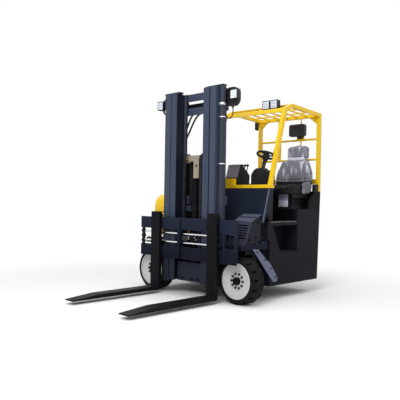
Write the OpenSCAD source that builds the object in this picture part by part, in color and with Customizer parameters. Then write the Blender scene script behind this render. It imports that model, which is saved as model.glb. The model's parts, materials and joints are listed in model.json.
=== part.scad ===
// Three-wheel sideways-travelling counterbalance forklift, wheels turned for side travel.
// Millimetres, +Z up, forks point to -Y, the driver's left is +X.
// Working coordinates put Y = 0 on the front face of the fork shanks.

/* [Body] */
// Body side outside a steering pivot
side_room = 90; // [84:1:110]
// Fork face to the rear of the truck
body_rear = 1700; // [1640:10:1900]
// Height of the underside of the body
body_low = 165; // [140:5:190]
// Height of the cab floor
floor_z = 900; // [860:5:980]
// Deck that carries the seat above the cab floor
deck_rise = 155; // [120:5:180]
// Top of the engine hood above the cab floor
hood_rise = 310; // [260:10:360]
// Yellow sill in front of the driver above the cab floor
sill_rise = 400; // [360:5:460]

/* [Overhead guard] */
// Crown of the guard's roof above the sill
guard_rise = 1030; // [900:10:1150]
// Width of the guard's square tubes
tube_w = 45; // [40:1:55]
// Number of lengthways bars in the roof
roof_bars = 5; // [3:1:7]

/* [Forks and carriage] */
// Length of a fork from its face to the tip
fork_len = 1200; // [900:10:1400]
// Width of a fork
fork_w = 150; // [120:5:160]
// Thickness of a fork
fork_t = 45; // [40:1:50]
// Fork shank above the carriage
shank_over = 68; // [55:1:90]
// Underside of the blades above the ground
fork_low = 40; // [30:1:60]
// Distance from a fork's centre to the truck's centre
fork_x = 477; // [400:1:520]
// Width of the fork carriage
carriage_w = 1600; // [1400:10:1640]
// Underside of the lower carriage bar
bar_low = 447; // [445:1:460]
// Height of one carriage bar
bar_h = 142; // [120:1:150]
// Gap between the two carriage bars
bar_gap = 201; // [180:1:220]

/* [Mast] */
// Depth of an upright
mast_d = 190; // [180:2:200]
// Height of the mast's top
mast_h = 2445; // [2300:5:2700]
// Height of the mast's foot
mast_low = 155; // [150:5:190]
// Width of an upright's flange
flange_w = 85; // [78:1:92]
// Height of the crosshead's middle at rest
crosshead_z = 1640; // [1500:10:1750]

/* [Front wheels] */
// Diameter of a front tyre over the lugs
tyre_d = 525; // [500:5:530]
// Width of a front tyre
tyre_w = 200; // [160:5:204]
// Outer radius of a front rim's lip
rim_r = 201; // [180:1:206]
// Distance between the two steering pivots
track = 1420; // [1380:2:1500]
// Fork face to the steering pivots
wheel_y = 275; // [272:1:290]
// Lugs on each shoulder of a tyre
lugs = 16; // [10:1:20]

/* [Rear wheel] */
// Diameter of the rear tyre
rear_d = 460; // [420:5:480]
// Width of the rear tyre
rear_w = 200; // [160:5:220]
// Rear of the truck behind the rear steering pivot
rear_over = 390; // [380:5:440]

/* [Cab] */
// Middle of the seat and the steering column inside the body's left side
seat_in = 300; // [290:5:340]
// Width of the seat
seat_w = 510; // [420:5:515]
// Diameter of the steering wheel
steer_d = 250; // [200:5:300]

/* [Part shown] */
// One sub-part, or all of them

/* [Hidden] */

yellow = "#f2b705";
slate = "#4a5663";
navy = "#20262e";
black = "#17181a";
steel = "#b9bec4";
white = "#eceef0";

$fn = 48;
// Running gap between pieces that move on each other
fit = 0.3;
// Steel plate and panel thicknesses
sheet = 20;
skin = 8;
wall = 40;
pivot_x = track / 2;
half = pivot_x + side_room;
plan_mid = (body_rear - fork_len) / 2;
tyre_r = tyre_d / 2;
rear_r = rear_d / 2;
// Wheel's middle plane ahead of its steering pivot
wheel_out = 30;
// Heights stacked on the cab floor
deck_z = floor_z + deck_rise;
hood_z = floor_z + hood_rise;
sill_z = floor_z + sill_rise;
guard_z = sill_z + guard_rise;
floor_t = 35;
under_floor = floor_z - floor_t;
// Carriage and shank heights
bar_top = bar_low + 2 * bar_h + bar_gap;
fork_h = bar_top + shank_over;

// Steering bearing plates over the front wheels
wing_low = tyre_d + 75;
wing_top = wing_low + 60;
pin_r = 45;
cap_r = 26;
hub_r = 42;
knuckle_x = side_room - 12;
// Planes of the mast from front to rear
bar_t = 35;
bar_back = fork_t + bar_t;
mast_front = bar_back + 15;
mast_back = mast_front + mast_d;
mast_mid = mast_front + mast_d / 2;
web_t = 22;
inner_web_t = 20;
flange_t = 24;
tie_t = 20;
// The mast stands between the swings of the two front wheels
swing_gap = 29.5;
mast_x = pivot_x - tyre_r - swing_gap;
outer_in = mast_x - flange_w;
inner_out = outer_in - 15;
inner_in = inner_out - flange_w - 8;
inner_web = inner_in + 37;
roller_r = mast_d / 2 - flange_t - 1.5;
// Mast pivot on the chassis and the pin of the tilt cylinders above it
pivot_y = mast_back + 100;
pivot_z = 270;
pivot_r = 24;
lug_r = 40;
lug_x = [mast_x - 62, mast_x - 22];
tilt_z = wing_top + 140;
tilt_x = mast_x - 118;
tilt_pin_r = 16;
tilt_r = 38;
// Main lift cylinders stand outside the uprights, above the wheels
cyl_r = 38;
cyl_x = mast_x + 40;
cyl_y = mast_front + 75;
cyl_low = wing_top - 40;
rod_r = 25;
yoke_low = mast_h + 5;
yoke_t = 13;
// Free-lift cylinder and chain line in the middle of the mast
free_y = mast_front + 120;
free_r = 44;
sheave_r = 50;
chain_x = inner_in - 85;
chain_w = 34;
chain_t = 14;
chain_pitch = 50;
chain_fix = mast_low + 925;
anchor_z = bar_low + 300;
// Front bulkhead of the body, behind the wheels and the mast
front_y = max(wheel_y + 325, mast_back + 315);
beam_y = front_y - 130;
hood_front = front_y - 120;
hood_side = -215;
hood_nose = -mast_x - 112;
cab_right = hood_side + sheet;
// Leaning front panel and the rear face that leans out towards its top
lean = 0.29;
panel_y = front_y + 15;
panel_t = 90;
rear_y = body_rear - rear_over;
wall_top = deck_z + 230;
rear_lean = 50;
step_back = body_rear - 505;
step_in = half - 210;
step_z = body_low + 385;
// Overhead guard: leaning front posts, a bend, and a roof that falls to the rear
post_lean = 0.28;
post_foot = panel_y + tube_w / 2;
sill_h = 40;
bend_z = guard_z - 68;
bend_y = post_foot + post_lean * (bend_z - sill_z - sill_h);
crown_y = bend_y + 150;
roof_fall = 40;
roof_t = 20;
// Seat places counted from the left side and the rear of the truck
seat_x = half - seat_in;
base_half = 200;
seat_front = body_rear - 480;
seat_rear = body_rear - 140;
cushion_z = deck_z + 185;
cushion_h = 100;
back_z = cushion_z + cushion_h;
// Steering column
column_y = panel_y + 253;
column_z = sill_z + 227;
column_tilt = 20;
column_len = 190;

function panel_at(z) = panel_y - lean * (sill_z - z);
function rear_at(z) = body_rear - rear_lean * (wall_top - z) / (wall_top - body_low);
function roof_at(y) = guard_z - roof_fall * (y - crown_y) / (body_rear - crown_y);

module truck() translate([0, -plan_mid, 0]) children();

// Box between two corners given axis by axis
module slab(x, y, z) {
    translate([x[0], y[0], z[0]])
        cube([x[1] - x[0], y[1] - y[0], z[1] - z[0]]);
}

// Prism along X from an outline in Y and Z
module side_prism(x, outline) {
    translate([x[0], 0, 0])
        rotate([90, 0, 90])
            linear_extrude(x[1] - x[0])
                polygon(outline);
}

// Prism along Y from an outline in X and Z
module front_prism(y, outline) {
    translate([0, y[1], 0])
        rotate([90, 0, 0])
            linear_extrude(y[1] - y[0])
                polygon(outline);
}

module rod_x(x, y, z, r) {
    translate([x[0], y, z])
        rotate([0, 90, 0])
            cylinder(r = r, h = x[1] - x[0]);
}

module rod_y(x, y, z, r) {
    translate([x, y[0], z])
        rotate([-90, 0, 0])
            cylinder(r = r, h = y[1] - y[0]);
}

module rod_z(x, y, z, r) {
    translate([x, y, z[0]])
        cylinder(r = r, h = z[1] - z[0]);
}

module pair() {
    children();
    mirror([1, 0, 0])
        children();
}

// Flat plate with round corners, standing across X
module round_plate(x, w, h, y, z, r) {
    translate([x, y[0], z])
        rotate([-90, 0, 0])
            linear_extrude(y[1] - y[0]) {
                square([w - 2 * r, h], center = true);
                square([w, h - 2 * r], center = true);
                for (i = [-1, 1], j = [-1, 1])
                    translate([i * (w / 2 - r), j * (h / 2 - r)])
                        circle(r = r);
            }
}

module chassis_frame() color(slate) truck() difference() {
    union() {
        pair() {
            slab([mast_x + 100, half], [wheel_y - 140, front_y], [wing_low, wing_top]);
            slab([tilt_x - 10, tilt_x + 30], [pivot_y, beam_y - 10], [pivot_z - 36, pivot_z + 36]);
            rod_x([tilt_x - 10, tilt_x + 30], pivot_y, pivot_z, 36);
            slab([half - wall - 100, half - wall], [front_y, body_rear - 120], [body_low + 5, body_low + 85]);
        }
        slab([-half, half], [beam_y, front_y], [wing_low, wing_top + 30]);
        slab([-mast_x + 20, mast_x - 20], [beam_y - 30, front_y], [body_low + 5, wing_low]);
        slab([-half + wall, half - wall], [front_y - 30, front_y + wall], [body_low + 5, wing_top]);
        slab([-half + wall, half - wall], [front_y + wall, rear_y - 300], [body_low + 5, body_low + 45]);
        slab([-330, 330], [rear_y - 340, rear_y + 120], [rear_d + 180, rear_d + 240]);
        slab([-120, 120], [front_y - 1, rear_y - 339], [rear_d + 180, rear_d + 230]);
        slab([-120, 120], [front_y - 1, front_y + wall], [wing_low, rear_d + 230]);
    }
    pair()
        rod_x([tilt_x - 20, tilt_x + 40], pivot_y, pivot_z, pivot_r + fit);
    pair()
        rod_z(pivot_x, wheel_y, [wing_low - 1, wing_top + 1], pin_r + fit);
    rod_z(0, rear_y, [rear_d + 140, rear_d + 260], pin_r + fit);
}

// Hitch pad on the rear with four threaded holes
pad_z = 740;
pad_y = body_rear - 12;
pad_hole = 8.5;
pad_dx = 140;
pad_dz = 80;

module counterweight() color(slate) truck() difference() {
    union() {
        side_prism([-half + wall, half - wall], [[rear_y - 200, body_low + 85],
            [rear_at(body_low + 85), body_low + 85], [rear_at(under_floor), under_floor],
            [rear_y - 200, under_floor]]);
        side_prism([cab_right, half - wall], [[rear_y + 90, under_floor - 1],
            [rear_at(under_floor - 1), under_floor - 1], [rear_at(deck_z - 30), deck_z - 30],
            [rear_y + 90, deck_z - 30]]);
        slab([-110, 110], [rear_at(pad_z) - 30, pad_y], [pad_z - 75, pad_z + 75]);
    }
    rod_z(0, rear_y, [0, rear_d + 180], 300);
    slab([step_in - sheet, half], [0, step_back + sheet], [step_z - wall, floor_z]);
    slab([-330 - fit, 330 + fit], [rear_y - 340 - fit, rear_y + 120 + fit],
        [rear_d + 140, rear_d + 240 + fit]);
    pair()
        slab([half - wall - 100 - fit, half], [0, body_rear - 120 + fit], [body_low, body_low + 85 + fit]);
    for (i = [-1, 1], j = [-1, 1])
        rod_y(i * pad_dx / 2, [pad_y - 50, pad_y + 1], pad_z + j * pad_dz / 2, pad_hole);
}

module engine_block() color(black) truck()
    slab([-half + 150, hood_side - 55], [front_y + 100, rear_y - 220], [body_low + 45, under_floor - 225]);

module engine_hood() color(yellow) truck() difference() {
    union() {
        side_prism([-half, hood_nose], [[wheel_y - 5, wing_top + 30], [wheel_y - 5, hood_z - 150],
            [wheel_y + 20, hood_z - 60], [wheel_y + 95, hood_z], [front_y, hood_z],
            [front_y, wing_top + 30]]);
        side_prism([-half, hood_side], [[hood_front, wing_top + 30], [hood_front, hood_z],
            [rear_at(hood_z) - 40, hood_z], [rear_at(hood_z), hood_z - 40], [rear_at(under_floor), under_floor],
            [front_y, under_floor], [front_y, wing_top + 30]]);
    }
    side_prism([-half + sheet, hood_nose - sheet], [[wheel_y + 20, wing_top], [wheel_y + 20, hood_z - 155],
        [wheel_y + 42, hood_z - 75], [wheel_y + 105, hood_z - sheet], [front_y, hood_z - sheet],
        [front_y, wing_top]]);
    side_prism([-half + sheet, hood_side - sheet], [[hood_front + sheet, wing_top],
        [hood_front + sheet, hood_z - sheet], [rear_at(hood_z) - 50, hood_z - sheet],
        [rear_at(hood_z) - sheet, hood_z - 50], [rear_at(wing_top) - sheet, wing_top]]);
    slab([-tilt_x - 55, -tilt_x + 55], [hood_front - 1, hood_front + sheet + 1], [wing_top, tilt_z + 50]);
    nose_slots(wing_top + 90, hood_z - 200, 45);
    for (i = [0 : 8])
        slab([-half - 1, -half + sheet + 1], [front_y + 150, rear_y - 60],
            [under_floor + 60 + 24 * i, under_floor + 70 + 24 * i]);
}

// Rows of air slots in the front of the hood's nose
module nose_slots(low, high, step) {
    mid = (-half + hood_nose) / 2;
    for (z = [low : step : high], s = [-1, 1])
        slab([mid + s * 55 - 45, mid + s * 55 + 45], [wheel_y - 6, wheel_y + 21], [z, z + 20]);
}

module side_panel_left() color(navy) truck() {
    difference() {
        side_prism([half - wall, half], [[front_y + wall, body_low], [rear_at(body_low), body_low],
            [rear_at(deck_z), deck_z], [step_back, deck_z], [step_back, floor_z], [front_y, floor_z],
            [front_y, wing_top + 35], [front_y + wall, wing_top + 35]]);
        side_prism([half - wall - 1, half + 1], [[step_back - 345, step_z], [step_back, step_z],
            [step_back, under_floor], [front_y + 90, under_floor]]);
    }
    slab([step_in - sheet, step_in], [front_y + 90, step_back + sheet], [step_z - wall, under_floor]);
    slab([step_in, half - wall], [front_y + 90, step_back + sheet], [step_z - wall, step_z - sheet]);
    slab([step_in, half - wall], [step_back, step_back + sheet], [step_z - sheet, under_floor]);
}

module side_panel_right() color(navy) truck()
    side_prism([-half, -half + wall], [[front_y + wall, body_low], [rear_at(body_low), body_low],
        [rear_at(under_floor), under_floor], [front_y, under_floor], [front_y, wing_top + 35],
        [front_y + wall, wing_top + 35]]);

// Gripping edge with teeth along Y
module teeth(x, y, z, count) {
    pitch = (y[1] - y[0]) / count;
    for (i = [0 : count - 1])
        translate([x[0], y[0] + (i + 0.5) * pitch, z])
            rotate([45, 0, 0])
                translate([0, -pitch / 4, -pitch / 4])
                    cube([x[1] - x[0], pitch / 2, pitch / 2]);
}

module step_treads() color(black) truck() {
    difference() {
        slab([step_in, half - wall], [step_back - 335, step_back], [step_z - sheet, step_z - 1]);
        teeth([step_in - 1, half], [step_back - 320, step_back - 10], step_z, 10);
    }
    difference() {
        slab([half - 60, half - 2], [front_y + wall, step_back - 20], [floor_z, floor_z + 14]);
        teeth([half - 61, half], [front_y + wall + 10, step_back - 30], floor_z + 15, 16);
    }
}

// Floor, riser and deck, with the black wall behind the seat
module cab_floor() color(black) truck() {
    slab([cab_right, half - wall], [panel_at(floor_z), step_back + 5], [under_floor, floor_z]);
    slab([cab_right, half - wall], [step_back - 15, step_back + 5], [floor_z, deck_z]);
    slab([cab_right, half - wall], [step_back - 15, rear_at(deck_z - 30)], [deck_z - 30, deck_z]);
    side_prism([cab_right, half - wall], [[body_rear - 110, deck_z - 1], [rear_at(deck_z - 1), deck_z - 1],
        [body_rear, wall_top], [body_rear - 110, wall_top]]);
    side_prism([half - wall - 1, half], [[body_rear - 260, deck_z], [rear_at(deck_z), deck_z],
        [body_rear, wall_top], [body_rear - 110, wall_top], [body_rear - 260, deck_z + 90]]);
}

module front_panel() color(navy) truck()
    side_prism([cab_right, half], [[panel_y, sill_z], [panel_y + panel_t, sill_z],
        [panel_y + panel_t - lean * 150, sill_z - 150], [panel_at(floor_z) + 30, floor_z],
        [panel_at(floor_z), floor_z]]);

// Box over the left wheel with a leaning front, closed by a slotted grille
module fender_left() color(slate) truck() {
    low_y = wheel_y - 46;
    high_y = wheel_y + 63;
    roof_y = panel_at(floor_z + 95) - 1;
    back_y = panel_at(floor_z) - 1;
    x0 = pivot_x - 205;
    x1 = half - 25;
    difference() {
        side_prism([x0, x1], [[low_y, wing_top], [low_y + 20, wing_top + 45], [high_y, floor_z + 17],
            [roof_y - 12, floor_z + 95], [roof_y, floor_z + 95], [back_y, floor_z], [back_y, wing_top + 30],
            [beam_y - 5, wing_top + 30], [beam_y - 5, wing_top]]);
        side_prism([x0 + skin, x1 - skin], [[low_y + skin, wing_top - 1], [low_y + 28, wing_top + 42],
            [high_y + 9, floor_z + 7], [beam_y - 20, floor_z + 70], [beam_y - 20, wing_top - 1]]);
        for (i = [0 : 5])
            slab([x0 + 30, x1 - 30], [low_y - 1, high_y + 20], [wing_top + 62 + 28 * i, wing_top + 76 + 28 * i]);
    }
}

// Slanting guard plates behind the front wheels, sized by the tyre
arch_shape = [[0.164, 1.331], [0.56, 1.301], [1.032, 0.905], [1.413, 0.638], [1.97, -0.029],
    [1.893, -0.208], [1.619, -0.177]];

module arch_plates() color(white) truck() pair()
    side_prism([half, half + skin], [for (p = arch_shape) [wheel_y + p[0] * tyre_r, tyre_r + p[1] * tyre_r]]);

// One bent side tube of the guard: front post, roof rail and rear post
module guard_rail(x) {
    side_prism([x, x + tube_w], [[post_foot, sill_z + sill_h], [bend_y, bend_z], [crown_y, guard_z],
        [body_rear, guard_z - roof_fall], [body_rear, wall_top], [body_rear - tube_w, wall_top],
        [body_rear - tube_w, roof_at(body_rear - tube_w) - tube_w], [crown_y + 8, guard_z - tube_w],
        [bend_y + tube_w - 4, bend_z - 36], [post_foot + tube_w, sill_z + sill_h]]);
    front_prism([body_rear - 30, body_rear - 22], [[x + tube_w / 2, rear_bar_z - 110],
        [x + (x < 0 ? 160 : -115), rear_bar_z], [x + tube_w / 2, rear_bar_z]]);
}

bar_zs = [wall_top + 415, wall_top + 680];
rear_bar_z = guard_z - roof_fall - tube_w;
guard_bar_x = cab_right + 335;

module guard_frame() color(yellow) truck() {
    guard_rail(cab_right);
    guard_rail(half - tube_w);
    slab([cab_right, half], [panel_y, panel_y + panel_t], [sill_z, sill_z + sill_h]);
    slab([cab_right, 245], [panel_y, panel_y + 60], [sill_z + sill_h - 1, sill_z + 118]);
    for (z = bar_zs)
        rod_x([cab_right + tube_w - 1, half - tube_w + 1], body_rear - 22, z, 14);
    slab([cab_right + tube_w - 1, half - tube_w + 1], [body_rear - 32, body_rear - 12],
        [wall_top + 97, wall_top + 160]);
    rod_z(seat_x + 5, body_rear - 22, [bar_zs[0], rear_bar_z], 9);
    slab([guard_bar_x, guard_bar_x + 40], [body_rear - 32, body_rear - 12], [bar_zs[0], rear_bar_z]);
    front_prism([body_rear - 40, body_rear - 34], [[seat_x - 60, bar_zs[1] - 14],
        [seat_x + 75, bar_zs[1] - 14], [seat_x + 60, bar_zs[1] + 50], [seat_x - 45, bar_zs[1] + 50]]);
    slab([seat_x - 45, seat_x + 60], [body_rear - 35, body_rear - 20], [bar_zs[1] - 8, bar_zs[1] + 8]);
}

// Cross tubes and the lattice between the two side rails
module guard_roof() color(yellow) truck() {
    x0 = cab_right + tube_w;
    x1 = half - tube_w;
    side_prism([x0, x1], [[bend_y, bend_z], [bend_y + 14, bend_z + 6], [bend_y + tube_w - 4, bend_z - 36],
        [bend_y + 20, bend_z - 44], [bend_y - 12, bend_z - 44]]);
    side_prism([x0, x1], [[crown_y - 15, guard_z - 7], [crown_y, guard_z],
        [crown_y + 40, roof_at(crown_y + 40)], [crown_y + 40, roof_at(crown_y + 40) - 40],
        [crown_y + 8, guard_z - tube_w]]);
    side_prism([x0, x1], [[body_rear - tube_w, roof_at(body_rear - tube_w)], [body_rear, guard_z - roof_fall],
        [body_rear, rear_bar_z], [body_rear - tube_w, rear_bar_z]]);
    for (i = [1 : roof_bars])
        translate([x0 + i * (x1 - x0) / (roof_bars + 1) - 8, 0, 0]) {
            side_prism([0, 16], [[crown_y + 39, roof_at(crown_y + 39) - 8],
                [body_rear - tube_w + 1, roof_at(body_rear - tube_w) - 8],
                [body_rear - tube_w + 1, roof_at(body_rear - tube_w) - 8 - roof_t],
                [crown_y + 39, roof_at(crown_y + 39) - 8 - roof_t]]);
            side_prism([0, 16], [[bend_y + 20, bend_z - 12], [crown_y + 8, guard_z - 40],
                [crown_y + 14, guard_z - 44], [bend_y + 33, bend_z - 32]]);
        }
    for (i = [1, 2])
        translate([0, crown_y + i * (body_rear - crown_y) / 3, roof_at(crown_y + i * (body_rear - crown_y) / 3)])
            slab([x0, x1], [-8, 8], [-26, -10]);
}

// Lever console beside the sill, and the dashboard between it and the left post
console_x = [40, 237];
dash_left = seat_x + 165;

module dash_console() color(black) truck() {
    difference() {
        side_prism(console_x, [[panel_y + panel_t, sill_z], [panel_y + panel_t + 5, sill_z + 130],
            [panel_y + 145, sill_z + 300], [panel_y + 178, sill_z + 298], [panel_y + 330, sill_z + 170],
            [panel_y + 300, floor_z], [panel_y + 160, floor_z]]);
        lever_line()
            translate([0, 0, -20])
                cylinder(r = 6 + fit, h = 60);
    }
    side_prism([console_x[1], dash_left], [[panel_y + panel_t, sill_z - 20], [panel_y + panel_t, sill_z + 20],
        [panel_y + 200, sill_z + 60], [panel_y + 250, sill_z + 60], [panel_y + 250, floor_z],
        [panel_y + 170, floor_z]]);
    translate([seat_x, 0, 0])
        front_prism([panel_y + 175, panel_y + 285], [[-117, sill_z + 40], [-117, sill_z + 165],
            [-80, sill_z + 220], [-40, sill_z + 245], [40, sill_z + 250], [60, sill_z + 228],
            [145, sill_z + 215], [165, sill_z + 185], [165, sill_z + 40]]);
    translate([seat_x, column_y, column_z])
        rotate([-column_tilt, 0, 0])
            cylinder(r = 22, h = column_len);
    for (s = [-1, 1])
        side_prism([seat_x + s * 75 - 35, seat_x + s * 75 + 35], [[panel_y + 249, floor_z + 20],
            [panel_y + 325, floor_z + 45], [panel_y + 325, floor_z + 55], [panel_y + 249, floor_z + 130]]);
}

// Three lever feet on the slope of the console
module lever_line() for (i = [0 : 2])
    translate([console_x[0] + 75 + 45 * i, panel_y + 302, sill_z + 194])
        rotate([-12, 0, 0])
            children();

module steering_wheel() color(black) truck()
    translate([seat_x, column_y, column_z])
        rotate([-column_tilt, 0, 0])
            translate([0, 0, column_len + 10]) {
                rotate_extrude()
                    translate([steer_d / 2 - 14, 0])
                        circle(r = 14);
                translate([0, 0, -9])
                    cylinder(r = 30, h = 20);
                for (a = [30 : 120 : 270])
                    rotate(a)
                        translate([20, -11, -6])
                            cube([steer_d / 2 - 32, 22, 12]);
            }

module control_levers() color(black) truck() lever_line() {
    translate([0, 0, -18])
        cylinder(r = 6, h = 120);
    translate([0, 0, 106])
        sphere(r = 18);
}

// Suspension under the seat with a bellows between two plates
module seat_base() color(black) truck() {
    slab([seat_x - base_half, seat_x + base_half], [seat_front, seat_rear], [deck_z, deck_z + 40]);
    for (i = [0 : 3])
        translate([0, 0, deck_z + 40 + 26 * i]) {
            slab([seat_x - 150, seat_x + 150], [seat_front + 50, seat_rear - 30], [-1, 27]);
            slab([seat_x - 175, seat_x + 175], [seat_front + 25, seat_rear - 12], [6, 20]);
        }
    slab([seat_x - base_half, seat_x + base_half], [seat_front, seat_rear], [deck_z + 144, cushion_z]);
}

module seat_cushion() color(black) truck()
    translate([seat_x, body_rear - 155, cushion_z + cushion_h / 2])
        rotate([90, 0, 0])
            linear_extrude(480) {
                square([seat_w - 60, cushion_h], center = true);
                square([seat_w, cushion_h - 60], center = true);
                for (i = [-1, 1], j = [-1, 1])
                    translate([i * (seat_w / 2 - 30), j * (cushion_h / 2 - 30)])
                        circle(r = 30);
            }

// Backrest that tapers upwards, with the headrest on top
module seat_back() color("#8d9196") truck() {
    side_prism([seat_x - seat_w / 2, seat_x + seat_w / 2], [[body_rear - 245, back_z],
        [body_rear - 155, back_z], [body_rear - 110, back_z + 385], [body_rear - 200, back_z + 385]]);
    round_plate(seat_x + 30, 290, 170, [body_rear - 175, body_rear - 95], back_z + 470, 45);
}

mirror_z = guard_z - 115;

module rear_mirror() color(black) truck() {
    round_plate(cab_right - 33, 62, 130, [body_rear - 50, body_rear - 25], mirror_z, 30);
    rod_x([cab_right - 20, cab_right], body_rear - 40, mirror_z, 8);
}

// Twin lamps on the roof's front, and the pad lamp on the rear bars
module work_lamps() color(black) truck() {
    for (x = [seat_x - 42, seat_x + 78])
        round_plate(x, 112, 108, [crown_y - 72, crown_y - 22], guard_z + 8, 14);
    slab([seat_x - 20, seat_x + 56], [crown_y - 23, crown_y - 15], [guard_z - 45, guard_z + 30]);
    side_prism([seat_x - 20, seat_x + 56], [[crown_y - 23, guard_z], [crown_y, guard_z],
        [crown_y + 38, roof_at(crown_y + 38)], [crown_y + 38, guard_z + 6], [crown_y - 23, guard_z + 6]]);
    round_plate(seat_x - 15, 235, 160, [body_rear - 105, body_rear - 45], bar_zs[1] + 125, 28);
    slab([seat_x - 30, seat_x + 45], [body_rear - 60, body_rear - 40 - fit], [bar_zs[1] + 20, bar_zs[1] + 70]);
}

// Upright section: 1 is the outer channel open to the middle, 2 is the inner I section
module upright(kind) {
    if (kind == 1) {
        slab([mast_x - web_t, mast_x], [mast_front, mast_back], [mast_low, mast_h]);
        slab([outer_in, mast_x], [mast_front, mast_front + flange_t], [mast_low, mast_h]);
        slab([outer_in, mast_x], [mast_back - flange_t, mast_back], [mast_low, mast_h]);
    }
    if (kind == 2) {
        slab([inner_web, inner_web + inner_web_t], [mast_front, mast_back], [mast_low + 20, mast_h]);
        slab([inner_in, inner_out], [mast_front, mast_front + flange_t], [mast_low + 20, mast_h]);
        slab([inner_in, inner_out], [mast_back - flange_t, mast_back], [mast_low + 20, mast_h]);
    }
}

// Heights of the outer ties: top, middle and foot
outer_ties = [[mast_h - 255, mast_h - 165], [chain_fix + 20, chain_fix + 120], [mast_low, mast_low + 75]];
inner_ties = [[mast_low + 20, mast_low + 100], [chain_fix - 70, chain_fix], [mast_h - 90, mast_h]];

module mast_outer() color(slate) truck() {
    pair() {
        upright(1);
        slab(lug_x, [mast_back - 5, pivot_y], [pivot_z - lug_r, pivot_z + lug_r]);
        rod_x(lug_x, pivot_y, pivot_z, lug_r);
        rod_x([tilt_x - 16, mast_x - 30], pivot_y, pivot_z, pivot_r);
        slab(lug_x, [mast_back - 5, pivot_y], [tilt_z - 30, tilt_z + 30]);
        rod_x(lug_x, pivot_y, tilt_z, 30);
        rod_x([tilt_x - 40, mast_x - 30], pivot_y, tilt_z, tilt_pin_r);
        for (z = outer_ties)
            slab([outer_in, mast_x], [mast_back - 5, mast_back + tie_t], z);
        rod_x([inner_web + inner_web_t + 6, mast_x - web_t + 1], mast_mid, mast_h - 90, roller_r);
        slab([mast_x - 1, cyl_x], [cyl_y - 45, cyl_y + 45], [cyl_low - 25, cyl_low]);
        for (z = [cyl_low + 320, mast_h - 530, mast_h - 190])
            slab([mast_x - 1, cyl_x - cyl_r], [cyl_y - 30, cyl_y + 30], [z - 15, z + 15]);
    }
    for (z = outer_ties)
        slab([-mast_x, mast_x], [mast_back + 15, mast_back + 15 + tie_t], z);
}

module mast_inner() color(slate) truck() {
    pair() {
        upright(2);
        rod_x([inner_web + 10, outer_in + 50], mast_mid, mast_low + 100, roller_r);
        slab([inner_in, cyl_x + 30], [cyl_y - 35, cyl_y + 35], [yoke_low, yoke_low + yoke_t]);
        slab([inner_in, inner_out], [cyl_y - 35, cyl_y + 35], [mast_h - 2, yoke_low + 1]);
    }
    for (z = inner_ties)
        slab([-inner_out, inner_out], [mast_back - 2, mast_back + 10], z);
    slab([-inner_in - 1, inner_in + 1], [free_y - 65, mast_back + 1], [mast_low + 20, mast_low + 45]);
    difference() {
        slab([-inner_in - 1, inner_in + 1], [free_y - 65, free_y - 53], [mast_low + 20, mast_low + 250]);
        for (x = [-0.55, 0.1, 0.6])
            slab([x * inner_in - 38, x * inner_in + 38], [free_y - 66, free_y - 52], [mast_low, mast_low + 62]);
    }
    pair()
        slab([chain_x - chain_w / 2, chain_x + chain_w / 2], [free_y + sheave_r - 5, mast_back],
            [chain_fix - 30, chain_fix]);
}

// Barrels with a gland and a clamp ring at each holder
module lift_cylinders() color(slate) truck() pair() difference() {
    union() {
        rod_z(cyl_x, cyl_y, [cyl_low, mast_h], cyl_r - 1);
        for (z = [cyl_low + 320, mast_h - 530, mast_h - 190, mast_h - 20])
            rod_z(cyl_x, cyl_y, [z - 12, z + 12], cyl_r);
    }
    rod_z(cyl_x, cyl_y, [cyl_low + 30, mast_h + 1], rod_r + 1);
}

module lift_rods() color(steel) truck() pair()
    rod_z(cyl_x, cyl_y, [cyl_low + 60, yoke_low], rod_r);

module free_lift_cylinder() color(black) truck() difference() {
    union() {
        rod_z(0, free_y, [mast_low + 45, crosshead_z - 180], free_r);
        rod_z(0, free_y, [crosshead_z - 230, crosshead_z - 180], free_r + 8);
        for (z = [mast_low + 120, bar_top + 90, bar_top + 210])
            rod_z(0, free_y, [z, z + 22], free_r + 6);
    }
    rod_z(0, free_y, [mast_low + 80, crosshead_z], 31);
}

// Ram, cross block with its face plate, and the two chain sheaves
module crosshead() color("#c9b48a") truck() {
    rod_z(0, free_y, [mast_low + 130, crosshead_z], 30);
    slab([-chain_x + 50, chain_x - 50], [free_y - 36, free_y + 36], [crosshead_z - 30, crosshead_z + 40]);
    slab([25, 112], [free_y - 66, free_y - 35], [crosshead_z - 30, crosshead_z]);
    difference() {
        slab([25, 112], [free_y - 66, free_y - 56], [crosshead_z - 235, crosshead_z - 29]);
        rod_y(70, [free_y - 67, free_y - 55], crosshead_z - 90, 16);
    }
    pair() {
        rod_x([chain_x - 55, chain_x + chain_w / 2 + 10], free_y, crosshead_z, 16);
        rod_x([chain_x - chain_w / 2, chain_x + chain_w / 2], free_y, crosshead_z, sheave_r);
    }
}

// Leaf chains: plates in a band, with the pins standing out at the sides
module lift_chains() color(black) truck() pair() {
    line = sheave_r + fit + chain_t / 2;
    difference() {
        union() {
            for (s = [-1, 1])
                slab([chain_x - chain_w / 2, chain_x + chain_w / 2],
                    [free_y + s * line - chain_t / 2, free_y + s * line + chain_t / 2],
                    [s < 0 ? anchor_z : chain_fix, crosshead_z]);
            rod_x([chain_x - chain_w / 2, chain_x + chain_w / 2], free_y, crosshead_z, line + chain_t / 2);
        }
        rod_x([chain_x - chain_w / 2 - 1, chain_x + chain_w / 2 + 1], free_y, crosshead_z, sheave_r + fit);
        slab([0, 2 * chain_x], [free_y - sheave_r - fit, free_y + sheave_r + fit], [0, crosshead_z]);
    }
    for (z = [anchor_z + 20 : chain_pitch : crosshead_z - 10])
        rod_x([chain_x - chain_w / 2 - 4, chain_x + chain_w / 2 + 4], free_y - line, z, 6, $fn = 6);
    for (z = [chain_fix + 20 : chain_pitch : crosshead_z - 10])
        rod_x([chain_x - chain_w / 2 - 4, chain_x + chain_w / 2 + 4], free_y + line, z, 6, $fn = 6);
}

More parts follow.
